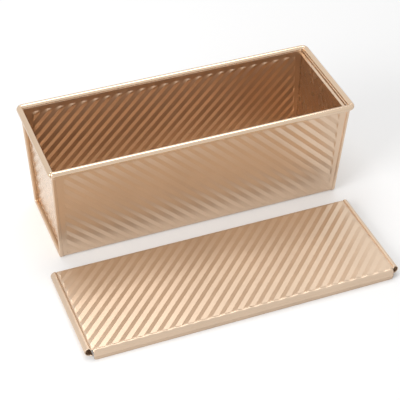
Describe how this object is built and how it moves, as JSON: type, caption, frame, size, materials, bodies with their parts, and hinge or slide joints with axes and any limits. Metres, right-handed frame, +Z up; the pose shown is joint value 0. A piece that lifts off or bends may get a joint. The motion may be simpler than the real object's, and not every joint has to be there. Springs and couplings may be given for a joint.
{
  "type": "pullman loaf pan",
  "caption": "Long straight-sided loaf pan of folded corrugated sheet with a rolled wire rim, and a flat corrugated lid with hooked ends that slides on across the pan.",
  "frame": {"origin": "centre of the pan's flat underside, on the table", "axes": "+X along the pan's length, +Y across the pan away from the side the lid lies on, +Z up"},
  "size_m": [0.351, 0.2685, 0.126],
  "materials": {
    "coated_sheet": "satin metallic gold non-stick coating on steel sheet",
    "rim_wire": "plain drawn wire"
  },
  "bodies": {
    "pan": {"shell": "coated_sheet", "left_end_panel": "coated_sheet", "right_end_panel": "coated_sheet", "rim_wire": "rim_wire"},
    "lid": {"lid": "coated_sheet"}
  },
  "joints": [
    {"name": "lid_lift", "type": "slide", "parent": "pan", "child": "lid", "axis": [0, 0, 1], "range_m": [0, 0.126]}
  ]
}
